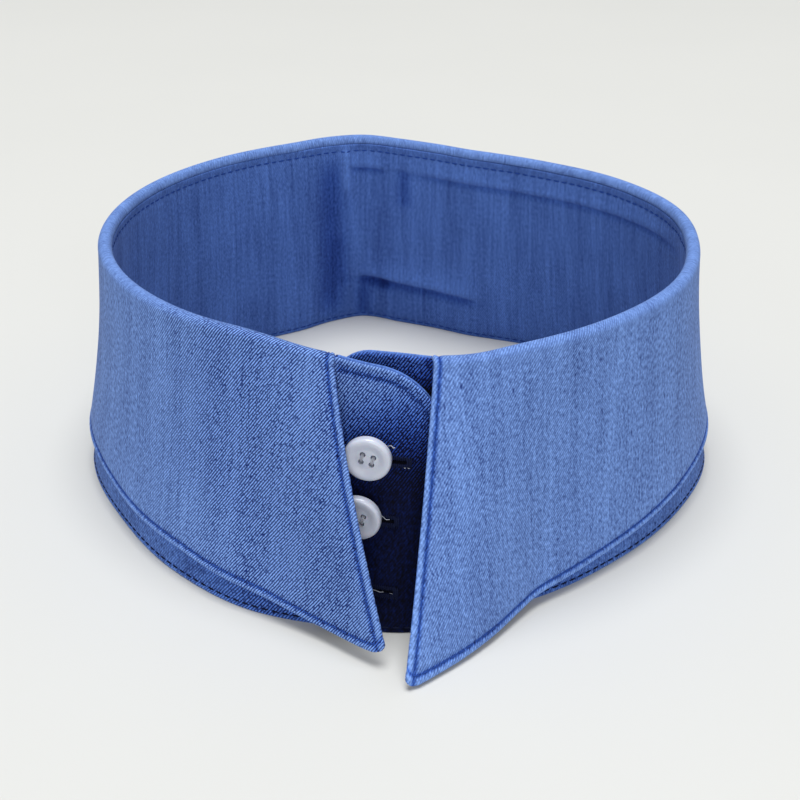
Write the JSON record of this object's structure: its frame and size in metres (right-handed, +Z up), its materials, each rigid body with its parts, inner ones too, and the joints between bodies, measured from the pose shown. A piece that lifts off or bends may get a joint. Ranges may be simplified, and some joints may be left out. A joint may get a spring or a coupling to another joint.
{
  "type": "detachable shirt collar",
  "caption": "Detachable shirt collar with a tall stand, a turned-down pointed leaf and a buttoned centre-front overlap, standing open-necked on its foot.",
  "frame": {"origin": "middle of the collar's footprint, on the surface it stands on", "axes": "+X towards the wearer's left side, -Y towards the centre front, +Z up along the neck"},
  "size_m": [0.1384, 0.158, 0.0521],
  "materials": {
    "chambray": "matt, fine diagonal twill",
    "button": "pearly, polished"
  },
  "bodies": {
    "root": {"collar_stand": "chambray", "collar_leaf": "chambray", "button_top": "button", "button_middle": "button", "button_bottom": "button"}
  },
  "joints": []
}
